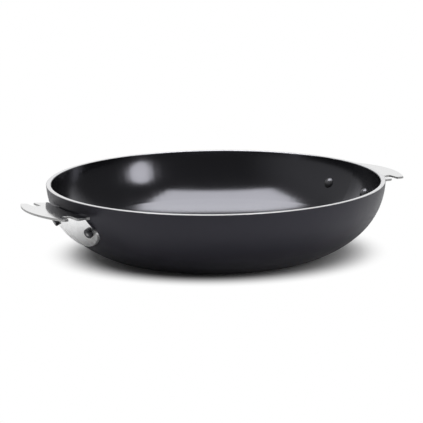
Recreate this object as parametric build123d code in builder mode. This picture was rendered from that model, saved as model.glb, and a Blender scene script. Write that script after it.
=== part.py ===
"""Frying pan with two riveted steel lugs for a clip-on handle.

Millimetres, +Z up. The origin is the centre of the base, on the surface that
the pan stands on. The lugs lie along +X and -X.
"""

import os
from math import acos, asin, atan2, cos, degrees, hypot, radians, sin, sqrt

from build123d import *

os.makedirs("parts", exist_ok=True)

# Bowl, forged aluminium
rim_radius = 140.0
pan_height = 60.0
base_radius = 85.0
wall = 4.0
floor_thickness = 5.0
flank_radius = 58.0
rim_lean = 2.5
shoulder_lean = 50.0
rim_outer_bevel = 0.5
rim_inner_bevel = 0.5

# Perforated steel disc pressed into the base, for induction hobs
disc_radius = 74.0
disc_thickness = 1.0
disc_clearance = 0.15
disc_hole_diameter = 5.0
disc_hole_rings = ((22.0, 8), (40.0, 14), (58.0, 20))
disc_edge_bevel = 0.2

# Lug plate, stamped from stainless sheet: overhangs are counted from the rim
sheet = 1.8
lug_seat = 0.1
plate_drop = 9.1
plate_rise = 3.0
bend_radius = 1.2
plate_overhang = 30.5
plate_edge_radius = 80.5
horn_tip_half_width = 38.5
horn_corner_half_width = 36.5
horn_overhang = 15.8
notch_half_width = 24.5
tab_half_width = 39.0
tab_root_half_width = 36.0
tab_overhang = 9.4
tab_gap = 2.6
neck_half_width = 17.0
plate_corner_radius = 1.2
edge_round = 0.35

# Lug saddle, which follows the wall
ear_drop = 2.5
ear_half_width = 28.4
relief_radius = 1.3
saddle_margin = 7.6
saddle_bottom_radius = 55.0

# Rivets, aluminium
rivet_half_spacing = 28.0
rivet_drop = 22.2
shank_diameter = 5.0
shank_clearance = 0.1
head_diameter = 9.0
head_height = 2.8
button_diameter = 8.2
button_height = 3.0
button_bevel = 0.6
dimple_diameter = 3.4
dimple_depth = 0.9
rivet_seat = 0.05

# The wall is an arc about this centre, from the rim down to the shoulder
flank_centre_x = rim_radius - flank_radius * cos(radians(rim_lean))
flank_centre_z = pan_height + flank_radius * sin(radians(rim_lean))
flank_centre = (flank_centre_x, flank_centre_z)


def flank_point(lean, outward=0.0):
    """Point of the wall where it leans inward by this angle, moved out along its normal."""
    radius = flank_radius + outward
    return (
        flank_centre_x + radius * cos(radians(lean)),
        flank_centre_z - radius * sin(radians(lean)),
    )


def flank_lean(height, outward=0.0):
    """Lean of the wall, or of a surface this far outside it, at this height."""
    return degrees(asin((flank_centre_z - height) / (flank_radius + outward)))


# Rivets stand square to the wall
rivet_lean = flank_lean(pan_height - rivet_drop)
rivet_foot = flank_point(rivet_lean)
drill_length = 4 * wall
rivet_on_saddle = flank_point(rivet_lean, lug_seat + sheet)
rivet_turn = degrees(asin(rivet_half_spacing / rivet_foot[0]))


def rivet_plane(heading):
    """Plane on the wall's outside at a rivet: its Z points out along the wall's normal."""
    across = Vector(cos(radians(heading)), sin(radians(heading)), 0)
    normal = across * cos(radians(rivet_lean)) - Vector(0, 0, sin(radians(rivet_lean)))
    return Plane(
        origin=across * rivet_foot[0] + Vector(0, 0, rivet_foot[1]),
        x_dir=Vector(0, 0, 1).cross(across),
        z_dir=normal,
    )


rivet_places = {
    "right_front": rivet_plane(-rivet_turn),
    "right_rear": rivet_plane(rivet_turn),
    "left_rear": rivet_plane(180 - rivet_turn),
    "left_front": rivet_plane(180 + rivet_turn),
}

# Bowl: outside and inside are two arcs each, tangent to one another at the shoulder
down_the_shoulder = (-sin(radians(shoulder_lean)), -cos(radians(shoulder_lean)))
inside_rim_lean = flank_lean(pan_height, -wall)
inside_floor_radius = base_radius - floor_thickness

with BuildPart() as pan_body:
    with BuildSketch(Plane.XZ) as bowl_section:
        with BuildLine() as bowl_outline:
            Line((0, floor_thickness), (0, 0))
            Line((0, 0), (base_radius, 0))
            TangentArc(
                flank_point(shoulder_lean),
                (base_radius, 0),
                tangent=down_the_shoulder,
            )
            CenterArc(flank_centre, flank_radius, -shoulder_lean, shoulder_lean - rim_lean)
            Line(flank_point(rim_lean), flank_point(inside_rim_lean, -wall))
            CenterArc(
                flank_centre,
                flank_radius - wall,
                -shoulder_lean,
                shoulder_lean - inside_rim_lean,
            )
            TangentArc(
                flank_point(shoulder_lean, -wall),
                (inside_floor_radius, floor_thickness),
                tangent=down_the_shoulder,
            )
            Line((inside_floor_radius, floor_thickness), (0, floor_thickness))
        make_face()
        rim_corners = bowl_section.vertices().sort_by(Axis.Y)[-2:].sort_by(Axis.X)
        chamfer(rim_corners[1], rim_outer_bevel)
        chamfer(rim_corners[0], rim_inner_bevel)
    revolve(axis=Axis.Z)
    with BuildSketch(Plane.XY) as disc_seat:
        Circle(disc_radius + disc_clearance)
    extrude(amount=disc_thickness, mode=Mode.SUBTRACT)
    for place in rivet_places.values():
        with BuildSketch(place.offset(wall)) as rivet_hole:
            Circle(shank_diameter / 2 + shank_clearance)
        extrude(amount=-drill_length, mode=Mode.SUBTRACT)

# Steel disc, flush with the base and pierced by rings of holes
with BuildPart() as base_disc:
    with BuildSketch(Plane.XY) as disc_outline:
        Circle(disc_radius)
        for ring_radius, hole_count in disc_hole_rings:
            with PolarLocations(ring_radius, hole_count):
                Circle(disc_hole_diameter / 2, mode=Mode.SUBTRACT)
    extrude(amount=disc_thickness)
    disc_rim = base_disc.faces().sort_by(Axis.Z)[0].outer_wire().edges()
    chamfer(disc_rim, disc_edge_bevel)

# Levels of the lug, and the radius inside which only its neck reaches the wall
plate_top = pan_height - plate_drop
plate_middle = plate_top - sheet / 2
ear_top = plate_top - ear_drop
sheet_middle = lug_seat + sheet / 2
plate_reach = rim_radius + plate_overhang
tab_inner_radius = flank_point(flank_lean(plate_top))[0] + tab_gap

# Horn tips lie on the plate's outer arc
horn_tip_x = plate_reach - plate_edge_radius
horn_tip_x += sqrt(plate_edge_radius**2 - horn_tip_half_width**2)

# Saddle outline: its lower corners run round the rivets, its bottom is one wide arc
corner_x = rivet_half_spacing
corner_z = rivet_on_saddle[1]
bottom_centre_z = corner_z + sqrt((saddle_bottom_radius - saddle_margin) ** 2 - corner_x**2)
bottom_tangent = degrees(atan2(corner_z - bottom_centre_z, corner_x))
corner_to_ear = hypot(ear_half_width - corner_x, ear_top - corner_z)
ear_tangent = degrees(atan2(ear_top - corner_z, ear_half_width - corner_x))
ear_tangent -= degrees(acos(saddle_margin / corner_to_ear))
relief_x = neck_half_width + relief_radius
relief_z = ear_top - relief_radius

with BuildPart() as lug_right:
    # the bent sheet as one ring about the pan: saddle, bend and rising flange
    with BuildSketch(Plane.XZ) as sheet_section:
        with BuildLine() as sheet_path:
            saddle_arc = CenterArc(
                flank_centre,
                flank_radius + sheet_middle,
                -shoulder_lean,
                shoulder_lean - flank_lean(plate_middle, sheet_middle),
            )
            PolarLine(
                saddle_arc @ 1,
                plate_reach + sheet,
                plate_rise,
                length_mode=LengthMode.HORIZONTAL,
            )
            bend_corner = sheet_path.vertices().sort_by(Axis.Y)[-2:].sort_by(Axis.X)[0]
            fillet(bend_corner, bend_radius + sheet / 2)
        trace(line_width=sheet)
    revolve(axis=Axis.Z)

    # the plate seen from above
    with BuildSketch(Plane.XY) as plate_plan:
        with BuildLine() as plate_outline:
            Polyline(
                (flank_centre_x, 0),
                (flank_centre_x, tab_root_half_width),
                (rim_radius, tab_root_half_width),
                (rim_radius + tab_overhang, tab_half_width),
                (rim_radius + tab_overhang, notch_half_width),
                (rim_radius + horn_overhang, notch_half_width),
                (rim_radius + horn_overhang, horn_corner_half_width),
                (horn_tip_x, horn_tip_half_width),
            )
            mirror(about=Plane.XZ)
            ThreePointArc(
                (horn_tip_x, horn_tip_half_width),
                (plate_reach, 0),
                (horn_tip_x, -horn_tip_half_width),
            )
        make_face()
        beyond_rim = plate_plan.vertices().filter_by(lambda corner: corner.X > rim_radius)
        fillet(beyond_rim, plate_corner_radius)
    extrude(amount=pan_height, mode=Mode.INTERSECT)

    # the gap between the wall and the tabs, on both sides of the neck
    with BuildSketch(Plane.XY.offset(ear_top)) as tab_clearance:
        Circle(tab_inner_radius)
        Rectangle(2 * plate_reach, 2 * neck_half_width, mode=Mode.SUBTRACT)
    extrude(amount=pan_height - ear_top, mode=Mode.SUBTRACT)

    # the saddle seen from the front, with a relief cut at each side of the neck
    with BuildSketch(Plane.YZ) as saddle_front:
        with BuildLine() as saddle_outline:
            CenterArc(
                (0, bottom_centre_z),
                saddle_bottom_radius,
                -90,
                bottom_tangent + 90,
            )
            corner_arc = CenterArc(
                (corner_x, corner_z),
                saddle_margin,
                bottom_tangent,
                ear_tangent - bottom_tangent,
            )
            Polyline(
                corner_arc @ 1,
                (ear_half_width, ear_top),
                (plate_reach, ear_top),
                (plate_reach, pan_height),
                (0, pan_height),
            )
            mirror(about=Plane.YZ)
        make_face()
        with Locations((relief_x, relief_z), (-relief_x, relief_z)):
            Circle(relief_radius, mode=Mode.SUBTRACT)
            Rectangle(
                2 * relief_radius,
                relief_radius,
                align=(Align.CENTER, Align.MIN),
                mode=Mode.SUBTRACT,
            )
    extrude(amount=plate_reach + sheet, mode=Mode.INTERSECT)

    # rivet holes
    for row in ("right_front", "right_rear"):
        with BuildSketch(rivet_places[row].offset(-wall)) as lug_hole:
            Circle(shank_diameter / 2 + shank_clearance)
        extrude(amount=drill_length, mode=Mode.SUBTRACT)

    # rounded edges of the plate, top and bottom
    for side in (-1, 0):
        plate_faces = lug_right.faces().filter_by(GeomType.CONE).sort_by(Axis.X)[-2:]
        plate_edges = plate_faces.sort_by(Axis.Z)[side].edges()
        outline = plate_edges.filter_by_position(Axis.X, rim_radius + tab_gap, plate_reach)
        fillet(outline, edge_round)

with BuildPart() as lug_left:
    add(lug_right.part.rotate(Axis.Z, 180))

# Rivets: a domed head inside the pan, a shank, and a button over the saddle
inner_radius = flank_radius - wall
head_sag = (head_diameter / 2) ** 2 / (2 * inner_radius)
head_foot = -wall - head_sag - rivet_seat
button_foot = lug_seat + sheet + rivet_seat
dome_radius = ((head_diameter / 2) ** 2 + head_height**2) / (2 * head_height)

with BuildPart() as rivet_blank:
    with BuildSketch(Plane.XZ) as rivet_section:
        with BuildLine() as rivet_outline:
            RadiusArc(
                (0, head_foot - head_height), (head_diameter / 2, head_foot), -dome_radius
            )
            Polyline(
                (head_diameter / 2, head_foot),
                (shank_diameter / 2, head_foot),
                (shank_diameter / 2, button_foot),
                (button_diameter / 2, button_foot),
                (button_diameter / 2, button_foot + button_height - button_bevel),
                (button_diameter / 2 - button_bevel, button_foot + button_height),
                (dimple_diameter / 2, button_foot + button_height),
                (0, button_foot + button_height - dimple_depth),
                (0, head_foot - head_height),
            )
        make_face()
    revolve(axis=Axis.Z)

pieces = {
    "pan_body": pan_body,
    "base_disc": base_disc,
    "lug_right": lug_right,
    "lug_left": lug_left,
}
for row, place in rivet_places.items():
    with BuildPart() as rivet:
        with Locations(place):
            add(rivet_blank.part)
    pieces[f"rivet_{row}"] = rivet

for name, piece in pieces.items():
    piece.part.label = name
    export_step(piece.part, f"parts/{name}.step")
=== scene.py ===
"""Frying pan with two riveted steel lugs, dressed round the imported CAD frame.

Metres, +Z up, in the frame of the CAD: the origin is the centre of the base.
"""
from math import atan2, cos, pi, radians, sin

import bpy
from mathutils import Matrix, Vector


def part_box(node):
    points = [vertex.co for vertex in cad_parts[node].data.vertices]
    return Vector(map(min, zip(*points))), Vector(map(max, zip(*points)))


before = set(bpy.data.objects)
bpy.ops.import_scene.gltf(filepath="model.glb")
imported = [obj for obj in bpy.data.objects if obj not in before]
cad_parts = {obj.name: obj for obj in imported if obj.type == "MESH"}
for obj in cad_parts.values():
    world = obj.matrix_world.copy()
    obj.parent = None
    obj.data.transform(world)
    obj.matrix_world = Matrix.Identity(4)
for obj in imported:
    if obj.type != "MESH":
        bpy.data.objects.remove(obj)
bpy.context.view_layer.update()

mm = 0.001

# Photograph: its width and focal length in pixels, and where the middle of the rim lies in it
photo_size = 423
focal_px = 2786.0
rim_middle_px = (215.80, 180.45)

# Camera, counted from the middle of the rim
camera_distance = 2.30
camera_heading = radians(-30.30)
camera_elevation = radians(11.12)
camera_roll = radians(0.650)

# Directions in the studio: away from the camera, and to its right
away = Vector((-sin(camera_heading), cos(camera_heading), 0))
rightward = Vector((away.y, -away.x, 0))

# Bowl: its rim, and where the bare turned metal of the rim and the base begins
bowl_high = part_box("pan_body")[1]
rim_radius = bowl_high.x
rim_height = bowl_high.z
rim_middle = Vector((0, 0, rim_height))
rim_face = rim_height - 0.25 * mm
bare_radius = rim_radius - 3.6 * mm
base_face = 0.3 * mm
base_waver = 0.2 * mm

# Faces inside the bowl look to its axis, but not straight down as the base does
inside_outward = 0.02
inside_upward = -0.9

# Lugs: the plate is all that lies above this height, and its cut edges look this little up or down
plate_underside = 48.6 * mm
edge_upward = (0.35, 0.75)

# Rivets stand square to the wall, which leans by this much at their height
rivet_lean = radians(25.2)
dimple_radius = 1.7 * mm
dimple_floor_radius = 0.75 * dimple_radius

# How fine the noise of each finish is. Brushing is drawn out along the sheet.
spray_scale = 2600.0
patch_scale = 35.0
turning_scale = 9000.0
brushing_scale = 4.0
brushing_stretch = (6.0, 900.0, 900.0)
smudge_scale = 60.0
grinding_scale = 7000.0
scuff_scale = 90.0
rivet_grain_scale = 1800.0

# Most of a noise lies in its band. Smudges and scuffs take the higher part of it.
noise_band = (0.3, 0.7)
smudge_band = (0.35, 0.7)
scuff_band = (0.45, 0.7)

# Depth of the fine relief in each finish
outer_grain_depth = 0.02 * mm
inner_grain_depth = 0.006 * mm
turning_depth = 0.01 * mm
grinding_depth = 0.008 * mm
polish_depth = 0.002 * mm
satin_depth = 0.004 * mm
cut_depth = 0.02 * mm
rivet_grain_depth = 0.01 * mm

# Floor: an oval of matt floor keeps the shadow, and gives way to the white backdrop from
# fade_start to fade_end. Reflections see the matt floor farther out.
floor_half = 12.0
oval_sideways = 0.947
oval_inward = 1.05
fade_start = 0.095
fade_end = 0.137
mirror_fade_start = 0.3
mirror_fade_end = 0.6
floor_grey = 0.92

# World: dim towards the camera, bright behind the pan, and a little light from the left.
# The spans are cosines of the angle to straight away and to the left.
dim_level = 0.09
bright_level = 1.0
left_level = 0.2
behind_span = (0.45, 0.85)
left_span = (0.3, 0.9)

# Lamp over the pan, a little behind its middle and to the left. The polished lugs would mirror
# it as plain white from above, so they have a weaker one in its place.
overhead_inward = 0.195
overhead_sideways = -0.07
overhead_height = 1.2
overhead_size = (1.28, 0.97)
overhead_radiance = 4.1
lug_fill_radiance = 0.9

# Oval key lamp at the right of the camera, with its turn and elevation in degrees
key_turn = 117.8
key_elevation = 24
key_distance = 1.6
key_size = (0.50, 1.15)
key_radiance = 3.5
key_roll = radians(20)


def grey(level):
    return (level, level, level, 1.0)


# Colours in linear light
outer_coat_colour = (0.0195, 0.0185, 0.0260, 1.0)
inner_coat_colour = (0.0045, 0.0045, 0.0055, 1.0)
coat_tint = (0.90, 0.90, 1.0, 1.0)
turned_colour = (0.70, 0.70, 0.71, 1.0)
polished_colour = grey(0.73)
# Saddle: satin steel drawn lighter than the plate's, as painted light for the bright floor it mirrors
satin_painted_light_colour = grey(0.92)
# Plate's cut edges: duller sheared steel, drawn darker still as painted shade on the edge faces
cut_painted_shade_colour = grey(0.42)
ground_colour = grey(0.62)
button_colour = grey(0.010)
worn_colour = grey(0.35)
head_colour = grey(0.07)

# Roughness, from the smoothest place of a finish to its roughest
outer_coat_roughness = (0.40, 0.46)
inner_coat_roughness = (0.155, 0.18)
turned_roughness = (0.26, 0.40)
cut_roughness = (0.42, 0.55)
ground_roughness = (0.24, 0.34)
button_roughness = (0.24, 0.34)
head_roughness = (0.28, 0.36)
worn_roughness = 0.35
smudge_roughness = (0.06, 0.10)
grain_roughness = (0.0, 0.03)
scuff_roughness = (0.0, 0.10)
satin_extra_roughness = 0.18

# Refraction of the coats, which sets how strongly they mirror the studio
outer_coat_ior = 1.42
inner_coat_ior = 1.98
button_ior = 1.6
head_ior = 2.1


class Shader:
    """Short calls for building the node tree of a material or world."""

    def __init__(self, owner):
        owner.use_nodes = True
        self.tree = owner.node_tree
        self.tree.nodes.clear()

    def feed(self, socket, value):
        if isinstance(value, bpy.types.NodeSocket):
            self.tree.links.new(value, socket)
        else:
            socket.default_value = value

    def add(self, kind, inputs=None, **settings):
        node = self.tree.nodes.new(kind)
        for name, value in settings.items():
            setattr(node, name, value)
        for name, value in (inputs or {}).items():
            self.feed(node.inputs[name], value)
        return node

    def math(self, operation, *values):
        node = self.add("ShaderNodeMath", operation=operation)
        for socket, value in zip(node.inputs, values):
            self.feed(socket, value)
        return node.outputs[0]

    def vector(self, operation, *values, output="Vector"):
        node = self.add("ShaderNodeVectorMath", operation=operation)
        for socket, value in zip(node.inputs, values):
            self.feed(socket, value)
        return node.outputs[output]

    def dot(self, first, second):
        return self.vector("DOT_PRODUCT", first, second, output="Value")

    def length(self, vector):
        return self.vector("LENGTH", vector, output="Value")

    def upward(self, vector):
        return self.add("ShaderNodeSeparateXYZ", {"Vector": vector}).outputs["Z"]

    def ramp(self, value, span, to=(0.0, 1.0)):
        """Value carried smoothly from the span's ends to those of to, and held beyond them."""
        node = self.add("ShaderNodeMapRange", {
            "Value": value, "From Min": span[0], "From Max": span[1], "To Min": to[0], "To Max": to[1],
        }, interpolation_type="SMOOTHSTEP")
        return node.outputs["Result"]

    def noise(self, where, scale, detail=2.0):
        return self.add("ShaderNodeTexNoise", {
            "Vector": where, "Scale": scale, "Detail": detail}).outputs["Fac"]

    def lines(self, along, scale):
        """Noise along one number only, as a tool leaves it on a turned or ground face."""
        return self.add("ShaderNodeTexNoise", {
            "W": along, "Scale": scale, "Detail": 3.0}, noise_dimensions="1D").outputs["Fac"]

    def bump(self, height, depth, strength):
        return self.add("ShaderNodeBump", {
            "Height": height, "Distance": depth, "Strength": strength}).outputs["Normal"]

    def coat(self, colour, roughness, ior, normal):
        return self.add("ShaderNodeBsdfPrincipled", {
            "Base Color": colour, "Roughness": roughness, "IOR": ior, "Normal": normal,
            "Specular Tint": coat_tint}).outputs[0]

    def metal(self, colour, roughness, normal):
        return self.add("ShaderNodeBsdfPrincipled", {
            "Base Color": colour, "Roughness": roughness, "Metallic": 1.0,
            "Normal": normal}).outputs[0]

    def mix(self, factor, first, second):
        node = self.add("ShaderNodeMixShader")
        for socket, value in zip(node.inputs, (factor, first, second)):
            self.feed(socket, value)
        return node.outputs[0]

    def geometry(self, output):
        """Position, True Normal or another measure of the place being coloured."""
        return self.add("ShaderNodeNewGeometry").outputs[output]

    def flat(self, vector):
        """Vector with its upward part left out."""
        return self.vector("MULTIPLY", vector, (1.0, 1.0, 0.0))


def new_material(name):
    material = bpy.data.materials.new(name)
    return material, Shader(material)


def finish_material(material, s, surface):
    s.add("ShaderNodeOutputMaterial", {"Surface": surface})
    return material


def bowl_material():
    """Charcoal coat outside, glossy black coat inside, bare turned metal on rim and base."""
    material, s = new_material("bowl")
    position = s.geometry("Position")
    normal = s.geometry("True Normal")
    height = s.upward(position)
    from_axis = s.flat(position)
    radius = s.length(from_axis)
    outward = s.math("DIVIDE", s.dot(normal, from_axis), s.math("MAXIMUM", radius, mm))
    inside = s.math("MULTIPLY", s.math("LESS_THAN", outward, inside_outward),
                    s.math("GREATER_THAN", s.upward(normal), inside_upward))

    # sprayed grain, with patches a little glossier than the rest
    grain = s.noise(position, spray_scale, detail=3.0)
    patches = s.noise(position, patch_scale, detail=3.0)
    outer = s.coat(outer_coat_colour, s.ramp(patches, noise_band, outer_coat_roughness),
                   outer_coat_ior, s.bump(grain, outer_grain_depth, strength=0.5))
    inner = s.coat(inner_coat_colour, s.ramp(patches, noise_band, inner_coat_roughness),
                   inner_coat_ior, s.bump(grain, inner_grain_depth, strength=0.3))

    # turned lines run round the rim and the base
    turning = s.lines(s.math("ADD", radius, height), turning_scale)
    turned = s.metal(turned_colour, s.ramp(turning, noise_band, turned_roughness),
                     s.bump(turning, turning_depth, strength=0.6))
    rim = s.math("MULTIPLY", s.math("GREATER_THAN", height, rim_face),
                 s.math("GREATER_THAN", radius, bare_radius))
    waver = s.math("MULTIPLY", grain, base_waver)
    base = s.math("LESS_THAN", height, s.math("ADD", base_face, waver))
    bare = s.math("MAXIMUM", rim, base)
    return finish_material(material, s, s.mix(bare, s.mix(inside, outer, inner), turned))


def lug_material():
    """Stainless sheet: polished plate, satin saddle drawn lighter as painted light, duller stamped
    edges drawn darker as partly painted shade.
    """
    material, s = new_material("lug_steel")
    position = s.geometry("Position")
    normal = s.geometry("True Normal")
    plate = s.math("GREATER_THAN", s.upward(position), plate_underside)
    tilt = s.math("ABSOLUTE", s.upward(normal))
    edge = s.math("MULTIPLY", plate, s.ramp(tilt, edge_upward, (1.0, 0.0)))

    # fine lines along the sheet's length, and faint smudges
    along = s.vector("MULTIPLY", position, brushing_stretch)
    grain = s.noise(along, brushing_scale)
    smudge = s.noise(position, smudge_scale, detail=3.0)
    shine = s.math("ADD", s.ramp(smudge, smudge_band, smudge_roughness),
                   s.ramp(grain, noise_band, grain_roughness))
    polished = s.metal(polished_colour, shine, s.bump(grain, polish_depth, strength=0.4))
    # saddle: satin finish, with its lighter colour as painted light
    satin_painted_light = s.metal(satin_painted_light_colour, s.math("ADD", shine, satin_extra_roughness),
                    s.bump(grain, satin_depth, strength=0.5))
    # cut edges: duller sheared steel, drawn darker as painted shade
    cut_painted_shade = s.metal(cut_painted_shade_colour, s.ramp(grain, noise_band, cut_roughness),
                  s.bump(grain, cut_depth, strength=0.5))
    return finish_material(material, s, s.mix(edge, s.mix(plate, satin_painted_light, polished), cut_painted_shade))


def rivet_material(name):
    """Black-coated rivet with the punch mark in its button worn to the metal."""
    material, s = new_material(name)
    position = s.geometry("Position")
    low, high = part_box(name)
    middle = (Vector(low) + Vector(high)) / 2
    heading = atan2(middle.y, middle.x)
    reach = cos(rivet_lean)
    axis = (cos(heading) * reach, sin(heading) * reach, -sin(rivet_lean))
    offset = s.vector("SUBTRACT", position, tuple(middle))
    from_axis = s.length(s.vector("CROSS_PRODUCT", offset, axis))
    outside = s.math("GREATER_THAN", s.dot(offset, axis), 0.0)
    dimple = s.ramp(from_axis, (dimple_floor_radius, dimple_radius), (1.0, 0.0))
    worn = s.math("MULTIPLY", outside, dimple)

    grain = s.noise(position, rivet_grain_scale, detail=3.0)
    relief = s.bump(grain, rivet_grain_depth, strength=0.4)
    coat = s.coat(button_colour, s.ramp(grain, noise_band, button_roughness), button_ior, relief)
    bare = s.metal(worn_colour, worn_roughness, relief)
    head = s.coat(head_colour, s.ramp(grain, noise_band, head_roughness), head_ior, relief)
    return finish_material(material, s, s.mix(outside, head, s.mix(worn, coat, bare)))


def disc_material():
    """Ground stainless disc with lines round its centre."""
    material, s = new_material("base_steel")
    position = s.geometry("Position")
    grinding = s.lines(s.length(s.flat(position)), grinding_scale)
    scuffs = s.noise(position, scuff_scale, detail=4.0)
    roughness = s.math("ADD", s.ramp(grinding, noise_band, ground_roughness),
                       s.ramp(scuffs, scuff_band, scuff_roughness))
    relief = s.bump(grinding, grinding_depth, strength=0.6)
    return finish_material(material, s, s.metal(ground_colour, roughness, relief))


def assign(node, material):
    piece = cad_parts[node]
    piece.data.materials.clear()
    piece.data.materials.append(material)


def floor_material():
    """Matt white near the pan, and the white backdrop outside an oval round it."""
    material, s = new_material("floor")
    path = s.add("ShaderNodeLightPath").outputs
    position = s.geometry("Position")
    sideways = s.dot(position, tuple(rightward * oval_sideways))
    inward = s.dot(position, tuple(away * oval_inward))
    distance = s.length(s.add("ShaderNodeCombineXYZ", {"X": sideways, "Y": inward}).outputs[0])
    near = s.math("MULTIPLY", path["Is Camera Ray"], s.ramp(distance, (fade_start, fade_end)))
    far = s.math("MULTIPLY", path["Is Glossy Ray"],
                 s.ramp(distance, (mirror_fade_start, mirror_fade_end)))
    backdrop = s.math("MAXIMUM", near, far)
    matt = s.add("ShaderNodeBsdfDiffuse", {"Color": grey(floor_grey)}).outputs[0]
    white = s.add("ShaderNodeEmission", {"Color": grey(1.0), "Strength": 1.0}).outputs[0]
    return finish_material(material, s, s.mix(backdrop, matt, white))


def build_floor():
    mesh = bpy.data.meshes.new("floor")
    signs = ((-1, -1), (1, -1), (1, 1), (-1, 1))
    mesh.from_pydata([(x * floor_half, y * floor_half, 0) for x, y in signs], [], [(0, 1, 2, 3)])
    floor = bpy.data.objects.new("floor", mesh)
    bpy.context.scene.collection.objects.link(floor)
    floor.data.materials.append(floor_material())


def build_world():
    """Dim studio with a white back, which the camera itself sees as white all round."""
    world = bpy.data.worlds.new("studio")
    bpy.context.scene.world = world
    s = Shader(world)
    direction = s.add("ShaderNodeTexCoord").outputs["Generated"]
    behind = s.ramp(s.dot(direction, tuple(away)), behind_span, (dim_level, bright_level))
    left = s.ramp(s.dot(direction, tuple(-rightward)), left_span, (0.0, left_level))
    seen = s.add("ShaderNodeLightPath").outputs["Is Camera Ray"]
    level = s.math("MAXIMUM", s.math("ADD", behind, left), seen)
    background = s.add("ShaderNodeBackground", {"Color": grey(1.0), "Strength": level}).outputs[0]
    s.add("ShaderNodeOutputWorld", {"Surface": background})


def frame_matrix(centre, facing):
    """Matrix of a lamp or camera that stands here, looks along facing, and keeps level."""
    back = -facing.normalized()
    side = (rightward - back * rightward.dot(back)).normalized()
    up = back.cross(side)
    rows = [(side[k], up[k], back[k], centre[k]) for k in range(3)]
    return Matrix(rows + [(0, 0, 0, 1)])


def softbox(name, centre, target, size, radiance, roll=0.0, shape="RECTANGLE"):
    """Lamp whose face shines at this radiance, where 1 shows as white."""
    width, depth = size
    lamp = bpy.data.lights.new(name, "AREA")
    lamp.shape = shape
    lamp.size = width
    lamp.size_y = depth
    lamp.energy = radiance * width * depth * pi
    box = bpy.data.objects.new(name, lamp)
    bpy.context.scene.collection.objects.link(box)
    box.matrix_world = frame_matrix(centre, target - centre) @ Matrix.Rotation(roll, 4, "Z")
    return box


def share_lugs(lamp, state):
    """Keep this lamp off the lugs, or on the lugs alone."""
    lit = bpy.data.collections.new(lamp.name + "_lugs")
    for node in ("lug_right", "lug_left"):
        lit.objects.link(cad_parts[node])
    for entry in lit.collection_objects:
        entry.light_linking.link_state = state
    lamp.light_linking.receiver_collection = lit


def towards(turn, elevation):
    """Direction this far round from away to the right, and this far up, in degrees."""
    level = away * cos(radians(turn)) + rightward * sin(radians(turn))
    return level * cos(radians(elevation)) + Vector((0, 0, sin(radians(elevation))))


def build_lamps():
    below = rim_middle + away * overhead_inward + rightward * overhead_sideways
    above = below + Vector((0, 0, overhead_height))
    share_lugs(softbox("overhead", above, below, overhead_size, overhead_radiance), "EXCLUDE")
    share_lugs(softbox("lug_fill", above, below, overhead_size, lug_fill_radiance), "INCLUDE")
    key = rim_middle + towards(key_turn, key_elevation) * key_distance
    softbox("key", key, rim_middle, key_size, key_radiance, key_roll, "ELLIPSE")


def build_camera():
    """Camera that shows the middle of the rim where the photograph has it."""
    camera = bpy.data.objects.new("camera", bpy.data.cameras.new("camera"))
    bpy.context.scene.collection.objects.link(camera)
    bpy.context.scene.camera = camera
    camera.data.lens = focal_px / photo_size * camera.data.sensor_width
    back = Vector((0, 0, sin(camera_elevation))) - away * cos(camera_elevation)
    up = back.cross(rightward)
    middle_px = Vector((rim_middle_px[0] - photo_size / 2, photo_size / 2 - rim_middle_px[1]))
    offset = Matrix.Rotation(-camera_roll, 2) @ middle_px * (camera_distance / focal_px)
    centre = rim_middle + back * camera_distance
    target = rim_middle - rightward * offset.x - up * offset.y
    roll = Matrix.Rotation(-camera_roll, 4, "Z")
    camera.matrix_world = frame_matrix(centre, target - centre) @ roll


assign("pan_body", bowl_material())
assign("base_disc", disc_material())
lug_steel = lug_material()
assign("lug_right", lug_steel)
assign("lug_left", lug_steel)
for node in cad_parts:
    if node.startswith("rivet"):
        assign(node, rivet_material(node))

build_floor()
build_world()
build_lamps()
build_camera()
bpy.context.scene.view_settings.view_transform = "Standard"
